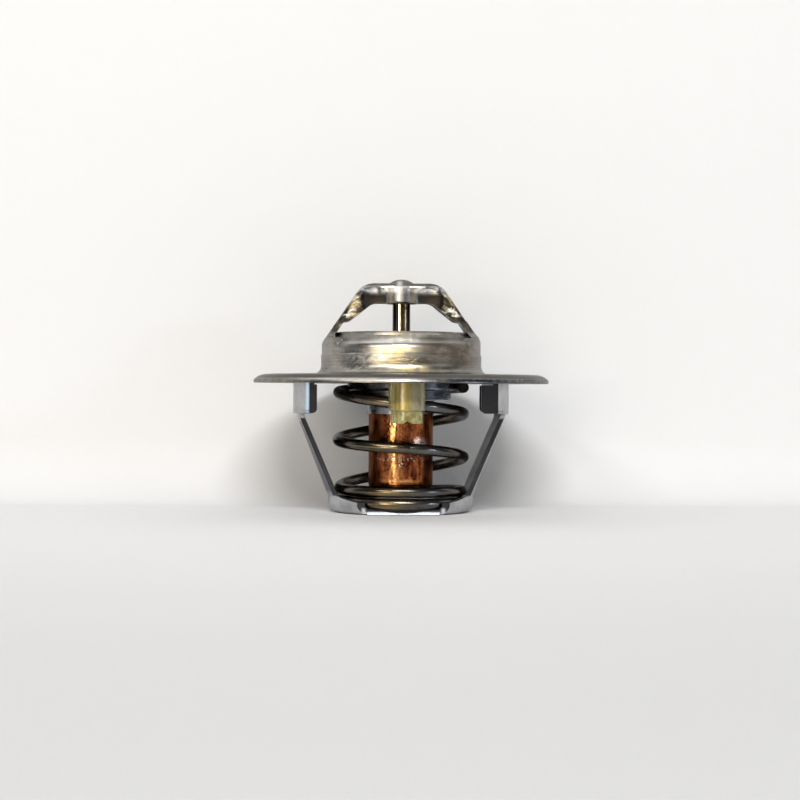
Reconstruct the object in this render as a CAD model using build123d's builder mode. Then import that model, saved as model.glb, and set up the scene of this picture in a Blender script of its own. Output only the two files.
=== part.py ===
from build123d import *
import os
from math import atan, atan2, cos, pi, radians, sin, sqrt, tan

# Engine coolant thermostat, wax-element type, standing on its lower frame.
# +Z runs up the pin, the frame legs lie at +X and -X, the bleed valve at -Y.
# The origin is at the centre of the underside of the base plate. Millimetres.

# ------------------------------------------------------------ driving sizes
# Seat housing: flange, neck and bridge drawn from one stainless blank
flange_diameter = 54.0
flange_thickness = 1.6
flange_edge_reach = 2.4  # width of the rolled-over upper edge
flange_edge_drop = 1.0  # and its fall
flange_corner_round = 0.2
flange_height = 23.5  # underside of the flange above the base
housing_wall = 1.1
neck_diameter = 29.4
neck_height = 5.3  # flange top to the start of the shoulder
neck_root_round = 1.6
neck_relief = 0.12  # the upper part of the neck is drawn this much smaller
relief_height = 3.5  # flange top to that small step
shoulder_rise = 1.65
shoulder_round = 1.2
rim_diameter = 24.4
lip_height = 0.65
mouth_round = 2.5  # die radius at the flange mouth, which is the valve seat

# Bridge: a narrow channel over the mouth with a thimble for the pin
bridge_height = 16.65  # flange top to the bridge top
bridge_top_length = 14.2  # between the two upper bends, before rounding
bridge_bend_round = 4.0
bridge_width = 5.5
bridge_edge_round = 0.9
flank_wall = 1.6
flank_depth = 3.6  # bridge top to the lower edge of the flanks
flank_flat = 10.6  # length of the straight lower edge
flank_end_drop = 7.1  # bridge top to the curled lower end
flank_end_reach = 9.6
flank_end_rise = 0.15  # the curled end turns up by this much
flank_corner_round = 2.4
flank_end_round = 1.6
dimple_offset = 5.0  # hollows pinched into the flanks beside the thimble
dimple_radius = 4.6
dimple_depth = 0.85
dimple_drop = 3.1  # bridge top to their centres
strap_foot_rise = 0.35  # start of the shoulder to the foot of the strap
foot_width = 16.8  # of the neck wall that runs up into the strap
foot_rise = 1.3  # start of the shoulder to the top of that wall
foot_reach = 4.4  # start of the shoulder to where the strap has its own width
foot_corner_round = 1.6
foot_flare_round = 2.6
thimble_diameter = 6.1
thimble_drop = 3.75  # bridge top to the underside of the thimble
thimble_neck_round = 0.5
dome_diameter = 4.7  # where it leaves the bridge top
dome_height = 0.8

# Pin
pin_diameter = 3.25
pin_cover = 0.9  # metal left over the end of the pin
pin_tip_cone = 0.5

# Lower frame, pressed from strip
frame_sheet = 0.8
cup_diameter = 26.7
cup_corner_round = 1.75
cup_strip_width = 21.0
cup_wall_height = 3.2
cup_wall_end_height = 2.2
cup_hole_diameter = 13.2
leg_width = 10.0
leg_foot_height = 3.6
tab_diameter = 39.5
tab_width = 20.6
tab_height = 5.5
tab_corner_round = 1.0
leg_root_round = 1.5
leg_bow = 0.36  # how much a leg is still bowed where it meets its tab
leg_lap = 0.6  # length of a leg inside its tab
leg_fairing = 1.0  # run of the cup wall's slope beside a leg
ear_height = 5.1
ear_gap = 0.3  # flange underside to the top of an ear
ear_round = 0.8
long_ear = 3.0
short_ear = 1.4
tenon_width = 6.0

# Main spring, wound left-handed, which fills the lower cup
spring_wire = 2.0
spring_side_gap = 0.45  # coil to the wall of the lower cup, on radius
closed_gap = 0.12
bottom_closed_turns = 1.5
end_flat_turns = 0.5  # the end lies almost flat for this many turns
end_flat_rise = 0.3
active_turns = 2.0
top_end_turns = 0.5
top_end_rise = 0.58
pitch_blend = 0.12  # turns over which one pitch runs into the next
coil_lift = 0.72  # the open coils stand this much above an even pitch
coil_lean = 0.72  # and this much more or less by side
coil_lean_angle = -20  # their high side, in degrees from +X
coil_sway = 0.5  # they also stand off the axis by this much towards -X
coil_bulge = 0.45  # and are wider than the ends by this much on radius
coil_skew = 0.7  # below 1 these four are strongest low down
points_per_turn = 12

# Valve plate and spring guide
valve_diameter = 27.8
valve_sheet = 0.9
valve_edge_chamfer = 0.1
valve_rim_width = 3.0
valve_hub_width = 1.5
valve_dish = 0.35
guide_side_gap = 0.3  # guide cup to the inside of the coil, on radius
guide_cup_step_width = 0.6
guide_cup_sheet = 0.7
guide_cup_round = 0.5
guide_cup_height = 3.3
guide_cup_step_height = 1.7

# Wax element
stem_diameter = 6.6
stem_reach = 3.5  # stem above the valve plate
stem_chamfer = 0.3
ring_thickness = 0.7
ring_diameter = 8.8
ring_groove_depth = 0.45
ring_mouth = 4.0  # opening of the ring, which lets it snap into its groove
shoulder_diameter = 9.2
shoulder_height = 0.2
collar_diameter = 12.4
collar_height = 2.4
collar_lip = 0.4
collar_round = 0.3
wax_cup_diameter = 11.8
wax_cup_wall = 0.6
wax_cup_length = 13.65
wax_cup_round = 0.85
head_depth = 1.3  # guide head inside the wax cup
backup_thickness = 0.6
sleeve_flange = 0.8
sleeve_diameter = 6.2
sleeve_length = 8.8
sleeve_floor = 1.0
sleeve_round = 0.8
seal_pocket_diameter = 5.2
seal_height = 0.9
washer_thickness = 0.3
washer_bore = 3.6

# Bleed valve
bleed_offset = 19.5  # bleed axis from the pin axis
bleed_body_diameter = 6.3
bleed_body_height = 4.9
bleed_foot_diameter = 5.6
bleed_foot_height = 2.1
bleed_stem_diameter = 4.3
bleed_chamber_diameter = 3.5
bleed_port_diameter = 2.0
bleed_floor = 0.9
bleed_notch_width = 1.6
bleed_notch_depth = 0.45
bleed_round = 0.3
ball_diameter = 3.0
ball_travel = 1.5

# Clearances
fit_gap = 0.05  # sliding fits and pieces pushed into each other, on radius
seat_gap = 0.08  # closed valve plate to its seat
spring_gap = 0.02  # spring to its seats
ball_gap = 0.03
tiny_gap = 0.02  # wax to its neighbours

# ---------------------------------------------------------- derived heights
flange_radius = flange_diameter / 2
neck_radius = neck_diameter / 2
rim_radius = rim_diameter / 2
flange_top = flange_height + flange_thickness
shoulder_z = flange_top + neck_height
lip_z = shoulder_z + shoulder_rise
rim_z = lip_z + lip_height
bridge_top = flange_top + bridge_height
half_bridge = bridge_width / 2

mouth_radius = neck_radius - housing_wall
seat_arc_r = mouth_radius + mouth_round
seat_arc_z = flange_height + mouth_round
valve_radius = valve_diameter / 2
valve_top = seat_arc_z - sqrt(mouth_round**2 - (seat_arc_r - valve_radius) ** 2) - seat_gap
valve_under = valve_top - valve_sheet

plate_top = frame_sheet
spring_low = plate_top + spring_gap + spring_wire / 2
spring_high = valve_under - spring_gap - spring_wire / 2
spring_radius = cup_diameter / 2 - frame_sheet - spring_side_gap - spring_wire / 2
guide_radius = spring_radius - spring_wire / 2 - guide_side_gap

guide_cup_z = valve_under - guide_cup_height
collar_top = guide_cup_z - shoulder_height
collar_under = collar_top - collar_height
wax_cup_base = collar_under - wax_cup_length
wax_cup_bore = wax_cup_diameter / 2 - wax_cup_wall
head_under = collar_under - head_depth
backup_under = head_under - backup_thickness
sleeve_seat = backup_under - sleeve_flange
stem_radius = stem_diameter / 2
stem_top = valve_top + stem_reach
seal_z = stem_top - washer_thickness - seal_height
pin_radius = pin_diameter / 2
pin_top = bridge_top - pin_cover
bore_floor = sleeve_seat - sleeve_length + sleeve_floor
pin_tip = bore_floor + pin_tip_cone


# -------------------------------------------------------------- helpers
def corners(sketch, points):
    """The vertices of a sketch nearest to the given points."""
    return [sketch.vertices().sort_by_distance((x, y, 0))[0] for x, y in points]


def ring_profile(inner, outer, low, high):
    """A plain rectangular section for a turned ring, in the r-z plane."""
    with BuildSketch(Plane.XZ) as section:
        with BuildLine():
            Polyline((inner, low), (outer, low), (outer, high), (inner, high), close=True)
        make_face()
    return section.sketch


# ------------------------------------------------------------ seat housing
bridge_bend = bridge_top_length / 2
strap_foot_z = shoulder_z + strap_foot_rise
shoulder_slope = atan2(shoulder_rise, neck_radius - rim_radius)
shoulder_shift = housing_wall * tan((pi / 2 - shoulder_slope) / 2)
upper_neck = neck_radius - neck_relief
relief_z = flange_top + relief_height
bridge_slope = atan2(bridge_top - strap_foot_z, upper_neck - bridge_bend)

with BuildSketch(Plane.XZ) as shell_section:
    with BuildLine():
        outline = Polyline(
            (flange_radius - flange_edge_reach, flange_top),
            (neck_radius, flange_top),
            (neck_radius, relief_z),
            (upper_neck, relief_z + neck_relief),
            (upper_neck, shoulder_z),
            (rim_radius, lip_z),
            (rim_radius, rim_z),
            (rim_radius - housing_wall, rim_z),
            (rim_radius - housing_wall, lip_z - shoulder_shift),
            (mouth_radius, shoulder_z - shoulder_shift),
            (mouth_radius, flange_height),
            (flange_radius, flange_height),
            (flange_radius, flange_top - flange_edge_drop),
        )
        TangentArc(outline @ 0, outline @ 1, tangent=(1, 0))
    make_face()
    rim_corner = (flange_radius, flange_top - flange_edge_drop)
    fillet(corners(shell_section, [rim_corner]), flange_corner_round)
    fillet(corners(shell_section, [(neck_radius, flange_top)]), neck_root_round)
    fillet(corners(shell_section, [(upper_neck, shoulder_z)]), shoulder_round)
    fillet(corners(shell_section, [(mouth_radius, flange_height)]), mouth_round)

# The solid cone-topped body that the bridge strap is cut from
with BuildSketch(Plane.XZ) as bridge_outline:
    with BuildLine():
        Polyline(
            (0, strap_foot_z - housing_wall),
            (upper_neck, strap_foot_z - housing_wall),
            (upper_neck, strap_foot_z),
            (bridge_bend, bridge_top),
            (0, bridge_top),
            close=True,
        )
    make_face()
    fillet(corners(bridge_outline, [(bridge_bend, bridge_top)]), bridge_bend_round)
    fillet(corners(bridge_outline, [(upper_neck, strap_foot_z)]), shoulder_round)
    mirror(about=Plane.YZ)

# What lies under the strap and its flanks, seen from the front
strap_inset = housing_wall / sin(bridge_slope)
bend_inset = housing_wall * tan(bridge_slope / 2)
foot_shift = housing_wall * tan((pi / 2 - bridge_slope) / 2)
flank_z = bridge_top - flank_depth
flank_end_z = bridge_top - flank_end_drop
curl_z = flank_end_z + flank_end_rise
strap_inner_at_end = bridge_bend + (bridge_top - flank_end_z) / tan(bridge_slope) - strap_inset
strap_floor = strap_foot_z - 2 * housing_wall
with BuildSketch(Plane.XZ) as under_bridge:
    with BuildLine():
        Polyline(
            (0, strap_floor),
            (upper_neck - housing_wall, strap_floor),
            (upper_neck - housing_wall, strap_foot_z - foot_shift),
            (strap_inner_at_end, flank_end_z),
            (flank_end_reach, curl_z),
            (flank_flat / 2, flank_z),
            (0, flank_z),
            close=True,
        )
    make_face()
    fillet(corners(under_bridge, [(flank_flat / 2, flank_z)]), flank_corner_round)
    fillet(corners(under_bridge, [(flank_end_reach, curl_z)]), flank_end_round)
    mirror(about=Plane.YZ)

# The hollow of the channel between the two flanks
with BuildSketch(Plane.XZ) as channel_hollow:
    with BuildLine():
        Polyline(
            (0, strap_floor),
            (upper_neck - housing_wall, strap_floor),
            (upper_neck - housing_wall, strap_foot_z - foot_shift),
            (bridge_bend - bend_inset, bridge_top - housing_wall),
            (0, bridge_top - housing_wall),
            close=True,
        )
    make_face()
    bend_corner = (bridge_bend - bend_inset, bridge_top - housing_wall)
    fillet(corners(channel_hollow, [bend_corner]), bridge_bend_round - housing_wall)
    mirror(about=Plane.YZ)

# The neck wall that runs up into each foot of the strap, seen from the side
foot_z = shoulder_z + foot_rise
foot_top_z = shoulder_z + foot_reach
with BuildSketch(Plane.YZ) as foot_outline:
    with BuildLine():
        Polyline(
            (0, strap_floor),
            (foot_width / 2, strap_floor),
            (foot_width / 2, foot_z),
            (half_bridge, foot_z),
            (half_bridge, foot_top_z),
            (0, foot_top_z),
            close=True,
        )
    make_face()
    fillet(corners(foot_outline, [(foot_width / 2, foot_z)]), foot_corner_round)
    fillet(corners(foot_outline, [(half_bridge, foot_z)]), foot_flare_round)
    mirror(about=Plane.YZ)

with BuildPart() as foot_hollow:
    extrude(channel_hollow.sketch, amount=foot_width / 2, both=True)
    Cylinder(upper_neck - housing_wall, 2 * bridge_top, mode=Mode.INTERSECT)

with BuildPart() as feet:
    extrude(bridge_outline.sketch, amount=foot_width / 2, both=True)
    Cylinder(upper_neck, 2 * bridge_top, mode=Mode.INTERSECT)
    extrude(foot_outline.sketch, amount=neck_radius, both=True, mode=Mode.INTERSECT)
    add(foot_hollow.part, mode=Mode.SUBTRACT)

with BuildPart() as bridge:
    extrude(bridge_outline.sketch, amount=half_bridge, both=True)
    along = bridge.edges() - bridge.edges().filter_by(Axis.Y)
    fillet(along.filter_by(lambda e: e.center().Z > strap_foot_z), bridge_edge_round)
    Cylinder(upper_neck, 2 * bridge_top, mode=Mode.INTERSECT)
    extrude(under_bridge.sketch, amount=half_bridge, both=True, mode=Mode.SUBTRACT)
    extrude(channel_hollow.sketch, amount=half_bridge - flank_wall, both=True, mode=Mode.SUBTRACT)
    dimple_y = half_bridge + dimple_radius - dimple_depth
    with GridLocations(2 * dimple_offset, 2 * dimple_y, 2, 2):
        with Locations((0, 0, bridge_top - dimple_drop)):
            Sphere(dimple_radius, mode=Mode.SUBTRACT)
    add(feet.part)

slot_inner = tab_diameter / 2 - frame_sheet - fit_gap
slot_outer = tab_diameter / 2 + fit_gap
with BuildSketch() as tenon_slots:
    Circle(slot_outer)
    Circle(slot_inner, mode=Mode.SUBTRACT)
    Rectangle(flange_diameter, tenon_width + 2 * fit_gap, mode=Mode.INTERSECT)

dome_radius = (dome_diameter**2 / 4 + dome_height**2) / (2 * dome_height)
thimble_z = bridge_top - thimble_drop
thimble_radius = thimble_diameter / 2
dome_top = bridge_top + dome_height
dome_edge_z = dome_top - dome_radius + sqrt(dome_radius**2 - thimble_radius**2)
with BuildSketch(Plane.XZ) as thimble_section:
    with BuildLine():
        RadiusArc((0, dome_top), (thimble_radius, dome_edge_z), dome_radius)
        Polyline(
            (thimble_radius, dome_edge_z),
            (thimble_radius, thimble_z),
            (pin_radius, thimble_z),
            (pin_radius, pin_top),
            (0, pin_top),
            (0, dome_top),
        )
    make_face()
    fillet(corners(thimble_section, [(thimble_radius, thimble_z)]), thimble_neck_round)

with BuildPart() as seat_housing:
    add(shell_section.sketch)
    revolve(axis=Axis.Z)
    add(bridge.part)
    add(thimble_section.sketch)
    revolve(axis=Axis.Z)
    with BuildSketch(Plane.XY.offset(thimble_z)):
        Circle(pin_radius)
    extrude(amount=pin_top - thimble_z, mode=Mode.SUBTRACT)
    with BuildSketch(Plane.XY.offset(flange_height)):
        with Locations((0, -bleed_offset)):
            Circle(bleed_stem_diameter / 2 + fit_gap)
    extrude(amount=flange_thickness, mode=Mode.SUBTRACT)
    with BuildSketch(Plane.XY.offset(flange_height)):
        add(tenon_slots.sketch)
    extrude(amount=flange_thickness, mode=Mode.SUBTRACT)

# ------------------------------------------------------------- piston pin
with BuildPart() as piston_pin:
    with BuildSketch(Plane.XZ):
        with BuildLine():
            Polyline(
                (0, pin_tip),
                (pin_radius - pin_tip_cone, pin_tip),
                (pin_radius, pin_tip + pin_tip_cone),
                (pin_radius, pin_top),
                (0, pin_top),
                close=True,
            )
        make_face()
    revolve(axis=Axis.Z)

# ------------------------------------------------------------- lower frame
cup_radius = cup_diameter / 2
tab_radius = tab_diameter / 2
tab_under = flange_height - tab_height
tenon_top = flange_top - fit_gap

with BuildSketch(Plane.XZ) as cup_section:
    with BuildLine():
        Polyline(
            (cup_hole_diameter / 2, 0),
            (cup_radius, 0),
            (cup_radius, leg_foot_height),
            (cup_radius - frame_sheet, leg_foot_height),
            (cup_radius - frame_sheet, frame_sheet),
            (cup_hole_diameter / 2, frame_sheet),
            close=True,
        )
    make_face()
    fillet(corners(cup_section, [(cup_radius, 0)]), cup_corner_round)
    inner_corner = (cup_radius - frame_sheet, frame_sheet)
    fillet(corners(cup_section, [inner_corner]), cup_corner_round - frame_sheet)

half_tab = tab_width / 2
half_leg = leg_width / 2
half_cup = cup_strip_width / 2
with BuildSketch(Plane.YZ) as frame_outline:
    with BuildLine():
        Polyline(
            (0, 0),
            (half_cup, 0),
            (half_cup, cup_wall_end_height),
            (half_leg + leg_fairing, cup_wall_height),
            (half_leg, cup_wall_height),
            (half_leg, tab_under),
            (half_tab, tab_under),
            (half_tab, flange_height),
            (tenon_width / 2, flange_height),
            (tenon_width / 2, tenon_top),
            (0, tenon_top),
            close=True,
        )
    make_face()
    fillet(corners(frame_outline, [(half_tab, tab_under)]), tab_corner_round)
    fillet(corners(frame_outline, [(half_leg, tab_under)]), leg_root_round)
    mirror(about=Plane.YZ)


def ear(side, edge, reach):
    """One sheet ear, turned inward from a tab's upright edge."""
    start = side * sqrt(tab_radius**2 - half_tab**2)
    middle = start - side * reach / 2
    across = edge * (half_tab - frame_sheet / 2)
    with BuildPart() as blank:
        with BuildSketch(Plane.XY.offset(flange_height - ear_gap - ear_height)):
            with Locations((middle, across)):
                Rectangle(reach, frame_sheet)
        extrude(amount=ear_height)
        inner = blank.edges().filter_by(Axis.Y).sort_by_distance((start - side * reach, across, 0))[0]
        fillet(inner, ear_round)
    return blank.part


def leg_section(side, height, bow_radius, middle_x):
    """A level cut through one leg: a strip bowed to a radius, as wide as its tab."""
    centre_x = middle_x - bow_radius
    spots = (-half_tab, 0, half_tab)
    outer = [(side * (centre_x + sqrt(bow_radius**2 - y**2)), y) for y in spots]
    inner = [(x - side * leg_thickness, y) for x, y in outer]
    with BuildSketch(Plane.XY.offset(height)) as section:
        with BuildLine():
            ThreePointArc(*outer)
            Line(outer[2], inner[2])
            ThreePointArc(*reversed(inner))
            Line(inner[0], outer[0])
        make_face()
    return section.sketch


# A leg is bowed like the cup at its foot and nearly flat at its tab
leg_low_z = leg_foot_height - leg_lap
leg_top_z = tab_under + leg_lap
leg_edge_x = sqrt(tab_radius**2 - half_leg**2)
leg_top_bow = (half_leg**2 + leg_bow**2) / (2 * leg_bow)
leg_slope = (leg_edge_x + leg_bow - cup_radius) / (leg_top_z - leg_low_z)
leg_thickness = frame_sheet / cos(atan(leg_slope))

with BuildPart() as legs:
    for side in (1, -1):
        foot = leg_section(side, leg_low_z, cup_radius, cup_radius)
        top = leg_section(side, leg_top_z, leg_top_bow, leg_edge_x + leg_bow)
        loft([foot, top], ruled=True)

with BuildPart() as lower_frame:
    add(cup_section.sketch)
    add(ring_profile(tab_radius - frame_sheet, tab_radius, tab_under, tenon_top))
    revolve(axis=Axis.Z)
    add(legs.part)
    extrude(frame_outline.sketch, amount=flange_diameter, both=True, mode=Mode.INTERSECT)
    for side in (1, -1):
        for edge in (1, -1):
            add(ear(side, edge, long_ear if (side, edge) == (1, -1) else short_ear))

# -------------------------------------------------------------- main spring
closed_pitch = spring_wire + closed_gap
flat_pitch = end_flat_rise / end_flat_turns
climb_turns = 1 - end_flat_turns
climb_pitch = (closed_pitch - end_flat_rise) / climb_turns
closed_rise = closed_pitch + flat_pitch * (bottom_closed_turns - 1)
active_rise = spring_high - spring_low - closed_rise - top_end_rise
active_pitch = active_rise / active_turns
top_start = bottom_closed_turns + active_turns
spring_turns = top_start + top_end_turns

# Turns at which the pitch changes, and the pitch from there on
pitches = [
    (0, flat_pitch),
    (end_flat_turns, climb_pitch),
    (1, flat_pitch),
    (bottom_closed_turns, active_pitch),
    (top_start, top_end_rise / top_end_turns),
]


def ramp(turn):
    """Zero before the change of pitch, the distance past it after, blended between."""
    if turn <= -pitch_blend:
        return 0.0
    if turn >= pitch_blend:
        return turn
    return (turn + pitch_blend) ** 2 / (4 * pitch_blend)


def coil_point(turn):
    """A point on the wire's centre line, counted in turns from the lower end."""
    rise = flat_pitch * turn
    for (_, before), (start, after) in zip(pitches, pitches[1:]):
        rise += (after - before) * ramp(turn - start)
    angle = pi - 2 * pi * (turn - bottom_closed_turns)
    open_share = min(max((turn - bottom_closed_turns) / active_turns, 0), 1)
    slack = sin(pi * open_share**coil_skew) ** 2
    rise += slack * (coil_lift + coil_lean * cos(angle - radians(coil_lean_angle)))
    radius = spring_radius + slack * coil_bulge
    return (radius * cos(angle) - slack * coil_sway, radius * sin(angle), spring_low + rise)


coil_steps = round(spring_turns * points_per_turn)
coil_points = [coil_point(i * spring_turns / coil_steps) for i in range(coil_steps + 1)]
with BuildPart() as main_spring:
    with BuildLine() as coil_line:
        Spline(*coil_points)
    with BuildSketch(Plane(coil_line.line @ 0, z_dir=coil_line.line % 0)):
        Circle(spring_wire / 2)
    sweep(path=coil_line.line, is_frenet=True)

# -------------------------------------------------------------- valve plate
plate_bore = stem_radius + fit_gap
dish_start = valve_radius - valve_rim_width
hub_radius = plate_bore + valve_hub_width
with BuildPart() as valve_plate:
    with BuildSketch(Plane.XZ) as plate_section:
        with BuildLine():
            Polyline(
                (plate_bore, valve_under),
                (valve_radius - valve_edge_chamfer, valve_under),
                (valve_radius, valve_under + valve_edge_chamfer),
                (valve_radius, valve_top),
                (dish_start, valve_top),
                (dish_start - valve_dish, valve_top - valve_dish),
                (hub_radius, valve_top - valve_dish),
                (hub_radius - valve_dish, valve_top),
                (plate_bore, valve_top),
                close=True,
            )
        make_face()
    revolve(axis=Axis.Z)

# -------------------------------------------------------------- spring guide
step_radius = guide_radius - guide_cup_step_width
step_z = valve_under - guide_cup_step_height
with BuildPart() as spring_guide:
    with BuildSketch(Plane.XZ) as guide_section:
        with BuildLine():
            Polyline(
                (plate_bore, guide_cup_z),
                (step_radius, guide_cup_z),
                (step_radius, step_z),
                (guide_radius, step_z),
                (guide_radius, valve_under),
                (guide_radius - guide_cup_sheet, valve_under),
                (guide_radius - guide_cup_sheet, step_z + guide_cup_sheet),
                (step_radius - guide_cup_sheet, step_z + guide_cup_sheet),
                (step_radius - guide_cup_sheet, guide_cup_z + guide_cup_sheet),
                (plate_bore, guide_cup_z + guide_cup_sheet),
                close=True,
            )
        make_face()
        guide_corners = [(step_radius, guide_cup_z), (guide_radius, step_z)]
        fillet(corners(guide_section, guide_corners), guide_cup_round)
    revolve(axis=Axis.Z)

# -------------------------------------------------------------- wax element
groove_radius = stem_radius - ring_groove_depth
ring_z = valve_top + fit_gap
head_radius = wax_cup_bore - fit_gap
pin_bore = pin_radius + fit_gap
lip_radius = shoulder_diameter / 2
pocket_radius = seal_pocket_diameter / 2
with BuildPart() as element_guide:
    with BuildSketch(Plane.XZ) as guide_body:
        with BuildLine():
            Polyline(
                (pin_bore, head_under),
                (head_radius, head_under),
                (head_radius, collar_top - collar_lip),
                (lip_radius, collar_top - collar_lip),
                (lip_radius, guide_cup_z),
                (stem_radius, guide_cup_z),
                (stem_radius, ring_z),
                (groove_radius, ring_z),
                (groove_radius, ring_z + ring_thickness),
                (stem_radius, ring_z + ring_thickness),
                (stem_radius, stem_top - stem_chamfer),
                (stem_radius - stem_chamfer, stem_top),
                (pocket_radius, stem_top),
                (pocket_radius, seal_z),
                (pin_bore, seal_z),
                close=True,
            )
        make_face()
    revolve(axis=Axis.Z)

with BuildPart() as retaining_ring:
    with BuildSketch(Plane.XY.offset(ring_z)):
        Circle(ring_diameter / 2)
        Circle(groove_radius, mode=Mode.SUBTRACT)
        with Locations((0, ring_diameter / 2)):
            Rectangle(ring_mouth, ring_diameter, mode=Mode.SUBTRACT)
    extrude(amount=ring_thickness)

collar_radius = collar_diameter / 2
with BuildPart() as element_collar:
    with BuildSketch(Plane.XZ) as collar_section:
        with BuildLine():
            Polyline(
                (wax_cup_bore, collar_under),
                (collar_radius, collar_under),
                (collar_radius, collar_top),
                (lip_radius + fit_gap, collar_top),
                (lip_radius + fit_gap, collar_top - collar_lip),
                (wax_cup_bore, collar_top - collar_lip),
                close=True,
            )
        make_face()
        fillet(corners(collar_section, [(collar_radius, collar_top)]), collar_round)
    revolve(axis=Axis.Z)

wax_cup_radius = wax_cup_diameter / 2
with BuildPart() as wax_cup:
    with BuildSketch(Plane.XZ) as cup_section:
        with BuildLine():
            Polyline(
                (0, wax_cup_base),
                (wax_cup_radius, wax_cup_base),
                (wax_cup_radius, collar_under),
                (wax_cup_bore, collar_under),
                (wax_cup_bore, wax_cup_base + wax_cup_wall),
                (0, wax_cup_base + wax_cup_wall),
                close=True,
            )
        make_face()
        fillet(corners(cup_section, [(wax_cup_radius, wax_cup_base)]), wax_cup_round)
        cup_floor_corner = (wax_cup_bore, wax_cup_base + wax_cup_wall)
        fillet(corners(cup_section, [cup_floor_corner]), wax_cup_round - wax_cup_wall)
    revolve(axis=Axis.Z)

with BuildPart() as backup_ring:
    add(ring_profile(pin_bore, head_radius, backup_under, head_under))
    revolve(axis=Axis.Z)

sleeve_radius = sleeve_diameter / 2
sleeve_low = sleeve_seat - sleeve_length
with BuildPart() as rubber_sleeve:
    with BuildSketch(Plane.XZ) as sleeve_section:
        with BuildLine():
            Polyline(
                (0, sleeve_low),
                (sleeve_radius, sleeve_low),
                (sleeve_radius, sleeve_seat),
                (head_radius, sleeve_seat),
                (head_radius, backup_under),
                (pin_bore, backup_under),
                (pin_bore, bore_floor),
                (0, bore_floor),
                close=True,
            )
        make_face()
        fillet(corners(sleeve_section, [(sleeve_radius, sleeve_low)]), sleeve_round)
    revolve(axis=Axis.Z)

wax_radius = wax_cup_bore - tiny_gap
wax_low = wax_cup_base + wax_cup_wall + tiny_gap
with BuildPart() as wax_charge:
    with BuildSketch(Plane.XZ) as wax_section:
        with BuildLine():
            Polyline(
                (0, wax_low),
                (wax_radius, wax_low),
                (wax_radius, sleeve_seat - tiny_gap),
                (sleeve_radius + tiny_gap, sleeve_seat - tiny_gap),
                (sleeve_radius + tiny_gap, sleeve_low - tiny_gap),
                (0, sleeve_low - tiny_gap),
                close=True,
            )
        make_face()
        fillet(corners(wax_section, [(wax_radius, wax_low)]), wax_cup_round - wax_cup_wall)
    revolve(axis=Axis.Z)

with BuildPart() as pin_seal:
    add(ring_profile(pin_bore, pocket_radius, seal_z, seal_z + seal_height))
    revolve(axis=Axis.Z)

with BuildPart() as seal_washer:
    add(ring_profile(washer_bore / 2, pocket_radius, seal_z + seal_height, stem_top))
    revolve(axis=Axis.Z)

# -------------------------------------------------------------- bleed valve
bleed_body_z = flange_height - bleed_body_height
bleed_low = bleed_body_z - bleed_foot_height
bleed_high = flange_top - fit_gap
chamber_radius = bleed_chamber_diameter / 2
port_radius = bleed_port_diameter / 2
ball_radius = ball_diameter / 2
chamber_low = bleed_low + bleed_floor
ball_rest = chamber_low + sqrt(max(ball_radius**2 - port_radius**2, 0)) + ball_gap
chamber_high = ball_rest + ball_travel + sqrt(2) * ball_radius - port_radius + 2 * ball_gap
bleed_plane = Plane.XZ.offset(bleed_offset)
bleed_axis = Axis((0, -bleed_offset, 0), (0, 0, 1))
with BuildPart() as bleed_housing:
    with BuildSketch(bleed_plane) as bleed_section:
        with BuildLine():
            Polyline(
                (port_radius, bleed_low),
                (bleed_foot_diameter / 2, bleed_low),
                (bleed_foot_diameter / 2, bleed_body_z),
                (bleed_body_diameter / 2, bleed_body_z),
                (bleed_body_diameter / 2, flange_height),
                (bleed_stem_diameter / 2, flange_height),
                (bleed_stem_diameter / 2, bleed_high),
                (port_radius, bleed_high),
                (port_radius, chamber_high),
                (chamber_radius, chamber_high - (chamber_radius - port_radius)),
                (chamber_radius, chamber_low),
                (port_radius, chamber_low),
                close=True,
            )
        make_face()
        fillet(corners(bleed_section, [(bleed_body_diameter / 2, bleed_body_z)]), bleed_round)
    revolve(axis=bleed_axis)
    with BuildSketch(bleed_plane) as notch:
        with BuildLine():
            Polyline(
                (-bleed_notch_width / 2, bleed_low),
                (0, bleed_low + bleed_notch_depth),
                (bleed_notch_width / 2, bleed_low),
                close=True,
            )
        make_face()
    extrude(amount=bleed_foot_diameter, both=True, mode=Mode.SUBTRACT)

with BuildPart() as bleed_ball:
    with Locations((0, -bleed_offset, ball_rest)):
        Sphere(ball_radius)

# -------------------------------------------------------------------- output
pieces = {
    "seat_housing": seat_housing,
    "lower_frame": lower_frame,
    "piston_pin": piston_pin,
    "main_spring": main_spring,
    "valve_plate": valve_plate,
    "spring_guide": spring_guide,
    "retaining_ring": retaining_ring,
    "element_guide": element_guide,
    "element_collar": element_collar,
    "wax_cup": wax_cup,
    "backup_ring": backup_ring,
    "rubber_sleeve": rubber_sleeve,
    "wax_charge": wax_charge,
    "pin_seal": pin_seal,
    "seal_washer": seal_washer,
    "bleed_housing": bleed_housing,
    "bleed_ball": bleed_ball,
}
os.makedirs("parts", exist_ok=True)
for name, piece in pieces.items():
    piece.part.label = name
    export_step(piece.part, f"parts/{name}.step")
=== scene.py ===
# %% [markdown]
# # An engine thermostat, from frame to finished picture
#
# The steel pressings, the pin and the wax cup come from the imported CAD frame.
# This script gives them their finishes, winds the spring again as one smooth
# mesh, and sets up a small photo studio.
#
# Everything stands in the frame of the CAD model: +Z runs up the pin, and the
# front of the part looks along -Y. Blender works in metres, so a length that
# is given in millimetres is multiplied by MM. The finishes read their place in
# millimetres.

# %% Load the frame
import math

import bmesh
import bpy
from mathutils import Matrix, Vector


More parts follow.
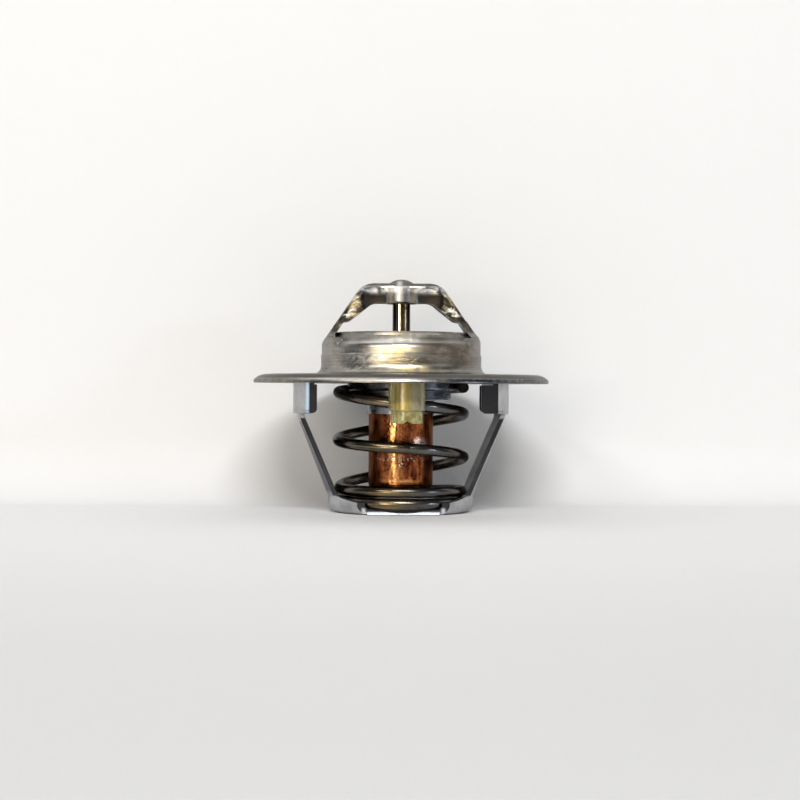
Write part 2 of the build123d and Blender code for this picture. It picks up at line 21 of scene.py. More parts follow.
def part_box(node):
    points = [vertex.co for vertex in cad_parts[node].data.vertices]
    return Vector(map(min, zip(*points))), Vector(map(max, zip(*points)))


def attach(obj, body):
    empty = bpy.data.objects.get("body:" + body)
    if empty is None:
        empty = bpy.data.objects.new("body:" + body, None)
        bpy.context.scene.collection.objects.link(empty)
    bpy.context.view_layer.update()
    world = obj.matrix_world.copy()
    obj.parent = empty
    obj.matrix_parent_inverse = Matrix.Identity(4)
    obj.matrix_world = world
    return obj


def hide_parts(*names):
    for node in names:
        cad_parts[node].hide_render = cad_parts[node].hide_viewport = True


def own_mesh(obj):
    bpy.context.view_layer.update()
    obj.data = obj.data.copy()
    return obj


MM = 0.001
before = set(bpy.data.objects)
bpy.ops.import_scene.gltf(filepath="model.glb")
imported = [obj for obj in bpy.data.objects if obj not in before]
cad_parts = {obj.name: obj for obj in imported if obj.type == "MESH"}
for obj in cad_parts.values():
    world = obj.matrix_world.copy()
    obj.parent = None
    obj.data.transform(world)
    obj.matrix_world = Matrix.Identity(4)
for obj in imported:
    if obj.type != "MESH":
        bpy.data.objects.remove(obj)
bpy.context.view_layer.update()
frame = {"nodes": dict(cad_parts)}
nodes = frame["nodes"]
print("frame nodes:", sorted(nodes))

# %% [markdown]
# ## Camera
#
# A camera could look down on the part and show more of it, but a long lens
# that is level with the flange sees the flange edge-on and keeps the upright
# lines upright. The lens is shifted instead of tilted, so the part still sits
# in the middle. The small turn about Z and the small roll are those of a part
# that was set down by hand.

# %% Camera
PICTURE_SIZE = 800
FOCAL_PIXELS = 1742.0
SENSOR_WIDTH = 36.0
CAMERA_DISTANCE = 320 * MM
CAMERA_HEIGHT = 22.0 * MM
CAMERA_TURN = math.radians(3.0)
CAMERA_ROLL = math.radians(0.3)
HORIZON_ROW = 391.5
AXIS_COLUMN = 401.0


def add_camera():
    """A camera that looks level at the pin, with its lens shifted to frame the part."""
    data = bpy.data.cameras.new("studio_camera")
    data.sensor_width = SENSOR_WIDTH
    data.lens = FOCAL_PIXELS * SENSOR_WIDTH / PICTURE_SIZE
    data.shift_x = (PICTURE_SIZE / 2 - AXIS_COLUMN) / PICTURE_SIZE
    data.shift_y = (HORIZON_ROW - PICTURE_SIZE / 2) / PICTURE_SIZE
    data.clip_start = 0.01
    data.clip_end = 20.0
    camera = bpy.data.objects.new("studio_camera", data)
    bpy.context.scene.collection.objects.link(camera)
    back = Vector((-math.sin(CAMERA_TURN), -math.cos(CAMERA_TURN), 0.0))
    place = back * CAMERA_DISTANCE + Vector((0.0, 0.0, CAMERA_HEIGHT))
    look = (-back).to_track_quat("-Z", "Y").to_matrix().to_4x4()
    camera.matrix_world = Matrix.Translation(place) @ look @ Matrix.Rotation(CAMERA_ROLL, 4, "Z")
    bpy.context.scene.camera = camera
    return camera


camera = add_camera()
bpy.context.view_layer.update()
print("camera at", [round(v, 4) for v in camera.matrix_world.translation], "lens", round(camera.data.lens, 1))

# %% [markdown]
# ## Shader maths as expressions
#
# A finish is a graph of nodes, and it could be drawn in the shader editor. It
# is easier to read, and to change, as arithmetic. `Wire` wraps one output
# socket, and each operator on it adds one Math node. `Tree` adds every other
# node through one method: settings first, then inputs. `Finish` is the tree of
# one material. Its `paint` lays one tint over another, as a brush would, where
# a mask of 0 to 1 says how much of it sticks.


# %% Wires and trees
class Wire:
    """An output socket that can stand in an expression."""

    def __init__(self, tree, socket):
        self.tree = tree
        self.socket = socket

    def __add__(self, other):
        return self.tree.maths("ADD", self, other)

    def __sub__(self, other):
        return self.tree.maths("SUBTRACT", self, other)

    def __rsub__(self, other):
        return self.tree.maths("SUBTRACT", other, self)

    def __mul__(self, other):
        return self.tree.maths("MULTIPLY", self, other)

    def __truediv__(self, other):
        return self.tree.maths("DIVIDE", self, other)

    __radd__ = __add__
    __rmul__ = __mul__


class Tree:
    """A node tree with short ways to add nodes to it."""

    def __init__(self, nodes):
        self.nodes = nodes

    def feed(self, socket, value):
        """Link a wire to a socket, or set the socket to a value."""
        if isinstance(value, Wire):
            self.nodes.links.new(value.socket, socket)
        elif socket.type == "RGBA" and len(value) == 3:
            socket.default_value = (*value, 1.0)
        else:
            socket.default_value = value

    def node(self, kind, settings=None, inputs=None, output=0):
        """Add a node, and give back one output, or all of them where output is None."""
        made = self.nodes.nodes.new(kind)
        for name, setting in (settings or {}).items():
            setattr(made, name, setting)
        for name, value in (inputs or {}).items():
            self.feed(made.inputs[name], value)
        if output is None:
            return [Wire(self, socket) for socket in made.outputs]
        return Wire(self, made.outputs[output])

    def maths(self, operation, *values):
        return self.node("ShaderNodeMath", {"operation": operation}, dict(enumerate(values)))

    def stretch(self, place, scales):
        return self.node("ShaderNodeVectorMath", {"operation": "MULTIPLY"}, {0: place, 1: scales})

    def split(self, place):
        return self.node("ShaderNodeSeparateXYZ", None, {0: place}, None)

    def join(self, x, y, z):
        return self.node("ShaderNodeCombineXYZ", None, {0: x, 1: y, 2: z})

    def noise(self, place, scale=1.0, detail=3.0):
        return self.node("ShaderNodeTexNoise", None, {"Vector": place, "Scale": scale, "Detail": detail})

    def between(self, value, low, high):
        """0 below low, 1 above high, and a smooth slope between them."""
        ranges = {"Value": value, "From Min": low, "From Max": high}
        return self.node("ShaderNodeMapRange", {"interpolation_type": "SMOOTHSTEP"}, ranges)

    def band(self, value, low, high, soft=0.25):
        """1 from low to high, with an edge that is soft by the given amount."""
        rising = self.between(value, low - soft, low + soft)
        return rising * (1.0 - self.between(value, high - soft, high + soft))

    def around(self, value, middle, width):
        """1 at the middle, fading to 0 at the given distance from it."""
        return 1.0 - self.between(self.maths("ABSOLUTE", value - middle), 0.0, width)

    def mix(self, share, low, high):
        """A colour from low to high, by a share of 0 to 1."""
        settings = {"data_type": "RGBA", "clamp_factor": True}
        return self.node("ShaderNodeMix", settings, {0: share, 6: low, 7: high}, 2)


class Finish(Tree):
    """A material with a Principled shader whose constants are set by name."""

    def __init__(self, name, **constants):
        self.material = bpy.data.materials.new(name)
        self.material.use_nodes = True
        super().__init__(self.material.node_tree)
        self.shader = self.nodes.nodes["Principled BSDF"]
        self.drive(**constants)

    def drive(self, **values):
        """Set or link sockets of the shader: Base_Color stands for Base Color."""
        for label, value in values.items():
            self.feed(self.shader.inputs[label.replace("_", " ")], value)

    def paint(self, share, tint):
        """Lay a tint over the colour so far; a share of 0 leaves it as it is."""
        self.colour = self.mix(share, self.colour, tint)

    def millimetres(self):
        """Object coordinates in millimetres."""
        place = self.node("ShaderNodeTexCoord", output="Object")
        return self.stretch(place, (1 / MM, 1 / MM, 1 / MM))

    def facing_y(self):
        """How squarely a face looks along Y, either way: 0 to 1."""
        _, along_y, _ = self.split(self.node("ShaderNodeNewGeometry", output="Normal"))
        return self.maths("ABSOLUTE", along_y)

    def bump(self, height, depth=1.0):
        """A normal from a height; a height of 1 is worth the depth in millimetres."""
        inputs = {"Height": height, "Distance": depth * MM, "Strength": 1.0}
        self.drive(Normal=self.node("ShaderNodeBump", None, inputs))

    def report(self):
        """Say how large the graph has grown."""
        print(self.material.name, "has", len(self.nodes.nodes), "nodes")


# %% [markdown]
# ## The main spring
#
# The real spring is one drawn wire, wound left-handed on a mandrel. Both ends
# are closed so that they lie flat, and the open turns lean a little. It could
# be a curve with a round bevel, or the CAD solid itself, which has the same
# path. A fresh mesh is better here: its rings are evenly spaced, so the wire
# would stay smooth if the spring were pressed flatter, and each ring
# can store how far along the wire it lies. A circle is spun one short step at
# a time, and each ring is then moved to its own height. The sizes below are in
# millimetres, turns and degrees.

# %% Sizes of the spring
spring_low, spring_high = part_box("main_spring")
SPRING_WIRE = 2.0
SPRING_RADIUS = 11.1
CLOSED_TURNS = 1.5
ACTIVE_TURNS = 2.0
TOP_TURNS = 0.5
FLAT_TURNS = 0.5
FLAT_RISE = 0.3
CLOSED_PITCH = 2.12
TOP_RISE = 0.58
PITCH_BLEND = 0.12
COIL_LIFT = 0.72
COIL_LEAN = 0.72
COIL_LEAN_ANGLE = -20
COIL_SWAY = 0.5
COIL_BULGE = 0.45
COIL_SKEW = 0.7
STEPS_PER_TURN = 80
WIRE_SIDES = 20
BURR_WIDTH = 0.84
BURR_HEIGHT = 0.12

low_centre = spring_low[2] / MM + SPRING_WIRE / 2
high_centre = spring_high[2] / MM - SPRING_WIRE / 2
flat_pitch = FLAT_RISE / FLAT_TURNS
climb_pitch = (CLOSED_PITCH - FLAT_RISE) / (1 - FLAT_TURNS)
closed_rise = CLOSED_PITCH + flat_pitch * (CLOSED_TURNS - 1)
active_pitch = (high_centre - low_centre - closed_rise - TOP_RISE) / ACTIVE_TURNS
spring_turns = CLOSED_TURNS + ACTIVE_TURNS + TOP_TURNS
pitches = [
    (0, flat_pitch),
    (FLAT_TURNS, climb_pitch),
    (1, flat_pitch),
    (CLOSED_TURNS, active_pitch),
    (CLOSED_TURNS + ACTIVE_TURNS, TOP_RISE / TOP_TURNS),
]
print("open pitch of the spring", round(active_pitch, 2), "mm")


# %% Path of the spring
def ramp(turn):
    """The turns since a change of pitch, or 0 before it, with a soft knee between."""
    if turn <= -PITCH_BLEND:
        return 0.0
    if turn >= PITCH_BLEND:
        return turn
    return (turn + PITCH_BLEND) ** 2 / (4 * PITCH_BLEND)


def coil_offset(turn):
    """How far a ring lies from the even circle at the height of the lower end."""
    rise = flat_pitch * turn
    for (_, before), (start, after) in zip(pitches, pitches[1:]):
        rise += (after - before) * ramp(turn - start)
    angle = math.pi - 2 * math.pi * (turn - CLOSED_TURNS)
    share = min(max((turn - CLOSED_TURNS) / ACTIVE_TURNS, 0), 1)
    slack = math.sin(math.pi * share**COIL_SKEW) ** 2
    rise += slack * (COIL_LIFT + COIL_LEAN * math.cos(angle - math.radians(COIL_LEAN_ANGLE)))
    bulge = slack * COIL_BULGE
    return Vector((bulge * math.cos(angle) - slack * COIL_SWAY, bulge * math.sin(angle), rise)) * MM


print("top of the climb", [round(v / MM, 2) for v in coil_offset(spring_turns)], "mm")


# %% Helpers for meshes
def only(kind, geom):
    """The vertices or the edges among what an operator made."""
    return [g for g in geom if isinstance(g, kind)]


def object_from(bm, name):
    """An object at the origin that holds the mesh, with its place in the mesh."""
    mesh = bpy.data.meshes.new(name)
    bm.to_mesh(mesh)
    bm.free()
    made = bpy.data.objects.new(name, mesh)
    bpy.context.scene.collection.objects.link(made)
    return made


# %% Wind the spring
def close_wire_end(bm, rim, place, outward):
    """A wire end sheared off square, with its burr rubbed down."""
    made = bmesh.ops.extrude_edge_only(bm, edges=rim)["geom"]
    verts = only(bmesh.types.BMVert, made)
    for v in verts:
        v[place] = (0.0, 0.0, v[place][2])
    middle = sum((v.co for v in verts), Vector()) / len(verts)
    bmesh.ops.scale(bm, verts=verts, vec=(BURR_WIDTH,) * 3, space=Matrix.Translation(-middle))
    bmesh.ops.translate(bm, verts=verts, vec=outward * BURR_HEIGHT * MM)
    bmesh.ops.contextual_create(bm, geom=only(bmesh.types.BMEdge, made))


def wind_spring():
    """One closed mesh from wire end to wire end, smooth except on its two caps."""
    bm = bmesh.new()
    place = bm.verts.layers.float_vector.new("wire_place")
    start = Vector((SPRING_RADIUS, 0.0, low_centre)) * MM
    upright = Matrix.Translation(start) @ Matrix.Rotation(math.pi / 2, 4, "X")
    bmesh.ops.create_circle(bm, segments=WIRE_SIDES, radius=SPRING_WIRE / 2 * MM, matrix=upright)
    for v in bm.verts:
        across = v.co - start
        v[place] = Vector((across.x, across.z, 0.0)) / MM
    ring = bm.verts[:] + bm.edges[:]
    first_rim = bm.edges[:]
    steps = round(spring_turns * STEPS_PER_TURN)
    angle = 2 * math.pi / STEPS_PER_TURN
    for step in range(1, steps + 1):
        turned = bmesh.ops.spin(bm, geom=ring, cent=(0, 0, 0), axis=(0, 0, -1), angle=angle, steps=1)
        ring = turned["geom_last"]
        verts = only(bmesh.types.BMVert, ring)
        turn = step / STEPS_PER_TURN
        shift = coil_offset(turn) - coil_offset(turn - 1 / STEPS_PER_TURN)
        bmesh.ops.translate(bm, verts=verts, vec=shift)
        for v in verts:
            v[place] = (v[place][0], v[place][1], turn * 2 * math.pi * SPRING_RADIUS)
    last_rim = only(bmesh.types.BMEdge, ring)
    close_wire_end(bm, first_rim, place, Vector((0, 1, 0)))
    close_wire_end(bm, last_rim, place, Vector((0, -1, 0)))
    bmesh.ops.recalc_face_normals(bm, faces=bm.faces[:])
    spring = object_from(bm, "spring_coil")
    for face in spring.data.polygons:
        face.use_smooth = len(face.vertices) == 4
    return spring


spring = wind_spring()
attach(spring, "frame")
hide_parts("main_spring")
spring_height = (spring_high[2] - spring_low[2]) / MM
print("spring_coil faces:", len(spring.data.polygons), "height", round(spring_height, 2), "mm")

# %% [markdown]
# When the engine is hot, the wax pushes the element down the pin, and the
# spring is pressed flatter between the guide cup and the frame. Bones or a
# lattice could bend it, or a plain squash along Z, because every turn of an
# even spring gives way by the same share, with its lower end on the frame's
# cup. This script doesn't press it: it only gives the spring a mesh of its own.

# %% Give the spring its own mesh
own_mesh(spring)

# %% [markdown]
# ## Finishes
#
# Stamped steel is never one even grey. The rolls and dies leave fine lines,
# handling leaves scratches, and heat and coolant leave brown stains. Each
# metal starts the same way: two tones, mixed by a noise that is stretched
# along the way the metal was worked, and a roughness and a small bump from the
# same noise. Marks that sit in one place are painted over it: stains and wear,
# and also painted highlights, painted reflections and painted shade. They could
# be drawn on a picture that is wrapped round the part, but a mask made from the
# place itself needs no picture, has no seam and can be moved by one number.


# %% Marks of the tools
def turned_lines(finish, place, across=9.0, along=1.2):
    """Noise drawn out round the upright axis, as on a turned or spun surface."""
    x, y, z = finish.split(place)
    reach = finish.maths("SQRT", x * x + y * y) + 0.001
    lines = finish.join(x / reach * along, y / reach * along, (reach + 1.3 * z) * across)
    return finish.noise(lines, 1.0, 4.0)


def upright_lines(finish, place):
    """Noise drawn out along Z, as on a deep-drawn cup."""
    return finish.noise(finish.stretch(place, (1.5, 1.5, 0.3)), 1.0, 3.0)


def rolled_lines(finish, place):
    """Noise drawn out along the strip, which runs up one leg and down the other."""
    return finish.noise(finish.stretch(place, (0.5, 7.0, 0.5)), 1.0, 4.0)


def wire_lines(finish, _):
    """Noise drawn out along the wire, from the place that the winding stored."""
    finish.wire_place = finish.node("ShaderNodeAttribute", {"attribute_name": "wire_place"}, output="Vector")
    return finish.noise(finish.stretch(finish.wire_place, (4.0, 4.0, 0.12)), 1.0, 3.0)


# %% Worked metal
STEEL_EDGE = (0.7, 0.7, 0.7)


def worked_metal(name, dark, light, roughness, lines, blotch_scale=0.35, depth=0.006, edge=STEEL_EDGE):
    """A metal of two tones; `lines` draws the marks of its making.

    A metal with a relief of its own is made with no depth and gets its bump later.
    """
    finish = Finish(name, Metallic=1.0, Specular_Tint=edge)
    finish.place = finish.millimetres()
    finish.marks = lines(finish, finish.place)
    blotches = finish.noise(finish.place, blotch_scale, 4.0)
    share = finish.between(finish.marks * 0.45 + blotches * 0.55, 0.36, 0.64)
    finish.colour = finish.mix(share, dark, light)
    finish.rough = roughness + (blotches - 0.5) * 0.22 + (finish.marks - 0.5) * 0.12
    finish.drive(Base_Color=finish.colour, Roughness=finish.rough)
    if depth:
        finish.bump(finish.marks, depth)
    return finish


# %% [markdown]
# ### The seat housing
#
# This is one stainless pressing: it was drawn and trimmed in dies, handled, and
# run in hot coolant. Fine rings and long streaks go round it, as the dies left
# them. Its marks are masks made from a few measures: the height, the distance
# to the side, how far a place lies to the front, the streaks and the patches.

# %% Seat housing steel
STAINLESS_DARK = (0.19, 0.18, 0.16)
STAINLESS_LIGHT = (0.37, 0.355, 0.33)
housing = worked_metal("stainless", STAINLESS_DARK, STAINLESS_LIGHT, 0.31, turned_lines, 0.22, depth=None)
x, y, z = housing.split(housing.place)
aside = housing.maths("ABSOLUTE", x)
facing = housing.between(-1.0 * y, 2.0, 9.0)
streaks = housing.between(turned_lines(housing, housing.place, 2.4, 5.0), 0.40, 0.60)
patches = housing.between(turned_lines(housing, housing.place, 0.9, 9.0), 0.42, 0.60)
housing.report()

# %% [markdown]
# The front of the neck gets painted highlights, grey, white and pale straw, and
# a painted warm reflection in gold. Painted shade lies in brown lines along its
# corners, and its right front is a darker brown. The heights of these places
# are those of the pressing.

# %% Neck finish
NECK = (25.3, 32.2)
LIP = (31.7, 32.4)
UPPER_RING = (30.3, 31.3)
NECK_WALL = (26.9, 30.0)
WALL_BELOW_STEP = (26.9, 29.6)
ROOT_ROUND = (25.4, 26.7)
STEP_CORNER = (30.0, 30.5, 0.15)
WALL_CORNER = (26.7, 27.4, 0.2)
FLANGE_CORNER = (24.95, 25.3, 0.12)
DARKER_WALL = (26.6, 30.6, 0.6)
FRONT_HIGHLIGHT_STEEL = (0.78, 0.755, 0.70)
GLEAM_HIGHLIGHT_WHITE = (1.0, 0.99, 0.96)
LIP_HIGHLIGHT_STRAW = (0.88, 0.82, 0.68)
WARM_REFLECTION_GOLD = (1.0, 0.80, 0.42)
LINE_SHADE_BROWN = (0.11, 0.08, 0.05)
RIGHT_FRONT_BROWN = (0.17, 0.13, 0.085)

# Painted highlight: the front of the neck is lightened, left of the middle.
front_highlight = housing.band(z, *NECK) * facing * housing.around(x, -4.0, 11.0) * (0.45 + streaks * 0.55)
housing.paint(front_highlight * 0.85, FRONT_HIGHLIGHT_STEEL)
# Painted highlight: white bands on the upper ring and on the wall below the step.
gleam_highlight = housing.band(z, *UPPER_RING) * housing.around(x, -1.5, 6.5)
gleam_highlight = gleam_highlight + housing.band(z, *WALL_BELOW_STEP) * housing.around(x, -6.0, 4.5)
housing.paint(gleam_highlight * facing * (0.4 + streaks * 0.6), GLEAM_HIGHLIGHT_WHITE)
# Painted highlight: pale straw along the front of the lip.
lip_highlight = housing.band(z, *LIP) * facing * housing.around(x, 1.0, 9.0) * (0.5 + patches * 0.5)
housing.paint(lip_highlight * 0.9, LIP_HIGHLIGHT_STRAW)
# Painted warm reflection: gold bands on the neck wall and on the root round.
warm_reflection = housing.band(z, *NECK_WALL) * housing.around(x, -2.2, 6.5)
warm_reflection = warm_reflection + housing.band(z, *ROOT_ROUND) * housing.around(x, 0.5, 8.5)
warm_reflection = warm_reflection * facing * (0.35 + patches * 0.65)
housing.paint(warm_reflection * 0.95, WARM_REFLECTION_GOLD)
# Painted shade: brown lines along the step, the wall corner and the flange corner.
corner_shade_lines = housing.band(z, *STEP_CORNER) + housing.band(z, *WALL_CORNER) + housing.band(z, *FLANGE_CORNER)
corner_shade_lines = corner_shade_lines * facing * housing.around(x, 0.0, 12.5) * (0.45 + streaks * 0.4)
housing.paint(corner_shade_lines, LINE_SHADE_BROWN)
# The right front of the neck is painted a darker brown.
darker_right = housing.between(x, 0.0, 4.5) * (1.0 - housing.between(x, 10.5, 13.5))
darker_right = darker_right * housing.band(z, *DARKER_WALL) * facing * (0.65 + patches * 0.35)
housing.paint(darker_right * 0.85, RIGHT_FRONT_BROWN)
housing.report()

# %% [markdown]
# The flange lies under a gasket in the engine, so it is duller than the neck.
# Its rolled edge gets a painted highlight along one thin line, and painted shade
# above that line and on its right.

# %% Flange finish
FLANGE_TOP = (24.8, 25.1)
FLANGE_SPREAD = (256.0, 300.0)  # squares of 16.0 and 17.3 mm from the axis
EDGE_TOP = (24.3, 24.5)
EDGE_LINE = (24.02, 0.36)
FAR_EDGE = (23.2, 24.5, 0.1)
WORN_EDGE = (23.4, 24.3, 0.1)
DULL_STEEL = (0.15, 0.145, 0.13)
EDGE_SHADE_BROWN = (0.07, 0.062, 0.055)
SHADED_STEEL = (0.11, 0.115, 0.125)
EDGE_HIGHLIGHT_WHITE = (1.0, 0.96, 0.88)
WORN_STRAW = (0.50, 0.46, 0.38)

flange = (1.0 - housing.between(z, *FLANGE_TOP)) * housing.between(x * x + y * y, *FLANGE_SPREAD)
housing.paint(flange * 0.6, DULL_STEEL)
# Painted shade on the rolled edge above its highlight line.
housing.paint(flange * housing.between(z, *EDGE_TOP) * facing * 0.7, EDGE_SHADE_BROWN)
# Painted shade on the right of the rolled edge.
right_edge_shade = flange * housing.band(z, *FAR_EDGE) * housing.between(x, 0.0, 3.5) * facing
housing.paint(right_edge_shade * 0.75, SHADED_STEEL)
# Painted highlight: one thin white line along the rolled edge.
edge_highlight = housing.around(z, *EDGE_LINE) * facing * (0.55 + streaks * 0.45)
housing.paint(edge_highlight * housing.between(housing.around(x, -8.0, 15.0), 0.0, 0.6), EDGE_HIGHLIGHT_WHITE)
worn_edge = housing.between(housing.noise(housing.place, 1.1, 3.0), 0.45, 0.60)
worn_edge = worn_edge * housing.band(z, *WORN_EDGE)
housing.paint(worn_edge * facing * 0.25, WORN_STRAW)
housing.report()

# %% [markdown]
# Coolant eats small pits into the steel, and tools scratch it. One noise and a
# scatter of cells give the pits, and a noise that is drawn out on a slant gives
# the scratches. The same mask goes into the bump below, so a pit is both dark
# and deep.

# %% Seat housing scratches and pits
PITTED_WALL = (26.9, 28.0, 0.2)
SCRATCHED_WALL = (25.8, 28.6, 0.4)
PIT_BLACK = (0.045, 0.038, 0.032)

level = housing.noise(housing.stretch(housing.place, (0.8, 0.8, 2.6)), 1.0, 4.0)
pitted = housing.between(level, 0.38, 0.54) * housing.band(z, *PITTED_WALL) * housing.around(x, 1.5, 6.5)
slant = housing.join(x * 0.5 + z * 0.5, y * 0.5, z * 1.9 - x * 1.5)
strokes = housing.between(housing.noise(slant, 1.0, 2.0), 0.48, 0.58)
strokes = strokes * housing.band(z, *SCRATCHED_WALL) * housing.around(x, -8.0, 4.5)
cells = housing.node("ShaderNodeTexVoronoi", None, {"Vector": housing.place, "Scale": 0.3})
pits = 1.0 - housing.between(cells, 0.03, 0.06)
pitted = housing.maths("MAXIMUM", (pitted + strokes) * facing * 0.8, pits)
housing.paint(pitted * 0.9, PIT_BLACK)
housing.report()

# %% [markdown]
# The strap of the bridge is one pressing with the neck. Its flanks are rolled
# over from the top. A painted highlight lies along them above, and painted shade
# along the crest and in the hollows below, with painted glints on the feet; the
# boss between the hollows gets a painted highlight and painted shade down its
# front. What a flank shows depends on how far below the strap's outline a place
# lies, so that is worked out first: level over the boss, and sloping down past
# the shoulders.

# %% Measures of the bridge
SHOULDER_REACH = 8.8
STRAP_TOP = 41.6
STRAP_SLOPE = 1.75
STRAP_ROOT = (32.4, 33.0)
BOSS_SIDE = (2.6, 3.1)

outline = housing.maths("MINIMUM", STRAP_TOP, STRAP_TOP - (aside - SHOULDER_REACH) * STRAP_SLOPE)
below = outline - z
flank = housing.between(housing.facing_y(), 0.25, 0.6) * housing.between(z, *STRAP_ROOT)
on_boss = 1.0 - housing.between(aside, *BOSS_SIDE)
crumple = housing.noise(housing.stretch(housing.place, (0.55, 0.55, 0.9)), 1.0, 3.0)
print("the strap is level for", SHOULDER_REACH, "mm to each side at", STRAP_TOP, "mm")

# %% Bridge finish
CREST_SHADE_GREY = (0.16, 0.15, 0.125)
ROLLED_HIGHLIGHT = (0.93, 0.92, 0.90)
HOLLOW_SHADE_BLACK = (0.038, 0.030, 0.022)
GLINT_GOLD = (0.78, 0.64, 0.36)
GLINT_WHITE = (1.0, 0.97, 0.90)

# Painted shade along the crest of the strap.
crest_shade = housing.between(z, 33.0, 34.0) * (1.0 - housing.between(below, 0.1, 0.4))
housing.paint(crest_shade * 0.8, CREST_SHADE_GREY)
# Painted highlight along the upper band of each flank.
flank_highlight = flank * (1.0 - housing.between(below, 1.2, 2.0)) * (1.0 - housing.between(aside, 8.5, 12.5))
flank_highlight = flank_highlight * (0.35 + housing.between(crumple, 0.40, 0.54) * 0.65)
housing.paint(flank_highlight * housing.between(below, 0.3, 0.5) * 0.9, ROLLED_HIGHLIGHT)
# Painted shade in the hollows below the flank, then painted gold glints in them.
hollow_shade = flank * housing.between(below, 1.3, 2.3) * (1.0 - on_boss)
housing.paint(hollow_shade * 0.95, HOLLOW_SHADE_BLACK)
housing.paint(hollow_shade * housing.around(aside, 8.8, 1.6) * patches * 0.8, GLINT_GOLD)
# Painted highlight: a white glint on each foot.
foot_glint = flank * housing.around(aside, 9.1, 1.1) * housing.around(z + aside * 0.25, 38.95, 0.5)
housing.paint(foot_glint, GLINT_WHITE)
housing.report()

# %% Creases, boss and corners
NICK_BLACK = (0.035, 0.03, 0.026)
GLINT_YELLOW = (1.0, 0.93, 0.78)
BOSS_HIGHLIGHT = (0.85, 0.84, 0.83)
BOSS_SHADE = (0.16, 0.145, 0.13)
CORNER_SHADE_GREY = (0.20, 0.19, 0.17)
STRAP_CORNER = (29.9, 31.7, 0.3)

creases = flank * (1.0 - on_boss) * housing.between(below, 0.5, 0.9)
nicks = creases * (1.0 - housing.between(crumple, 0.38, 0.46))
housing.paint(nicks * 0.7, NICK_BLACK)
# Painted glints: yellow sparks near the feet.
crease_glints = creases * housing.between(crumple, 0.54, 0.60) * housing.around(aside, 9.3, 2.5)
housing.paint(crease_glints, GLINT_YELLOW)
# Painted highlight down the front of the boss, and painted shade to its right.
housing.paint(flank * on_boss * housing.around(x, -0.5, 0.9) * 0.8, BOSS_HIGHLIGHT)
housing.paint(flank * on_boss * housing.around(x, 1.7, 1.3) * 0.7, BOSS_SHADE)
# Painted shade where the strap meets the neck.
corner = housing.around(aside, 11.7, 1.3) * housing.band(z, *STRAP_CORNER)
housing.paint(corner * 0.7, CORNER_SHADE_GREY)
dull = pitted * 0.2 + hollow_shade * 0.16 + flank * 0.05 + warm_reflection * 0.08 + corner * 0.3 + darker_right * 0.2
housing.drive(Base_Color=housing.colour, Roughness=housing.rough + dull)
housing.report()

# %% [markdown]
# The neck was drawn over a die in two strokes, so it isn't quite straight: it
# leans in above its small step and flares towards its root. A bump that
# depends on height gives this, the rounded edge of the flange and the roll-over
# of the bridge, and a slow waviness, fine lines and pits lie on top of it. The
# heights of the bump are in millimetres.

# %% Seat housing bump
STEP_HEIGHT = 0.13
FLARE_HEIGHT = 0.16
SHOULDER_HEIGHT = 0.30
ROLL_HEIGHT = 0.6
DENT_HEIGHT = 0.3
EDGE_HEIGHT = 0.24
STRAP_REACH = (2.4, 5.5)
FOLD_RISE = (31.5, 33.5)
STRAP_FACE = (2.3, 2.7)

step = STEP_HEIGHT * (1.0 - housing.between(z, 28.7, 30.2))
root_flare = FLARE_HEIGHT * (1.0 - housing.between(z, 25.4, 27.6))
shoulder = SHOULDER_HEIGHT * (1.0 - housing.between(z, 30.5, 31.9))
edge_roll = EDGE_HEIGHT * flange * (1.0 - housing.between(z, 23.6, 24.4))
on_strap = housing.between(aside, *STRAP_REACH) * housing.between(z, *FOLD_RISE)
dented = crumple * housing.between(housing.maths("ABSOLUTE", y), *STRAP_FACE)
rolled_over = (housing.between(below, 0.0, 2.2) - 1.0) * ROLL_HEIGHT
rolled_over = (rolled_over + dented * DENT_HEIGHT) * on_strap
waves = turned_lines(housing, housing.place, 0.5, 5.0)
relief = step + root_flare + shoulder + edge_roll + rolled_over
housing.bump(relief + waves * 0.10 + housing.marks * 0.008 - pitted * 0.03)
housing.report()

# %% [markdown]
# ### The small metal parts
#
# Most of these hide inside. They were turned, ground or punched, so each gets
# two tones of its own metal and fine rings round the axis. The guide cup is
# nearly black, with a painted bluish reflection on its front right.

# %% Small metal parts
pin_steel = worked_metal("pin_steel", (0.34, 0.27, 0.17), (0.60, 0.52, 0.38), 0.13, turned_lines, depth=0.001)
guide_steel = worked_metal("guide_steel", (0.03, 0.028, 0.026), (0.09, 0.085, 0.08), 0.26, turned_lines)
plate_steel = worked_metal("plate_steel", (0.14, 0.14, 0.145), (0.26, 0.26, 0.27), 0.34, turned_lines)
ring_steel = worked_metal("ring_steel", (0.09, 0.09, 0.10), (0.18, 0.18, 0.19), 0.35, turned_lines)
collar_steel = worked_metal("collar_steel", (0.30, 0.31, 0.34), (0.50, 0.52, 0.57), 0.28, turned_lines)
washer_steel = worked_metal("washer_steel", (0.40, 0.40, 0.41), (0.56, 0.56, 0.56), 0.30, turned_lines)
ball_steel = worked_metal("ball_steel", (0.58,) * 3, (0.68,) * 3, 0.10, turned_lines, depth=0.001)
guide_brass = worked_metal("guide_brass", (0.52, 0.38, 0.16), (0.78, 0.62, 0.30), 0.26, turned_lines)
for finish in (plate_steel, ring_steel, collar_steel, washer_steel, ball_steel, guide_brass):
    finish.report()

# %% Painted reflection on the guide cup
GUIDE_REFLECTION_BLUE = (0.50, 0.56, 0.68)
x, y, _ = guide_steel.split(guide_steel.place)
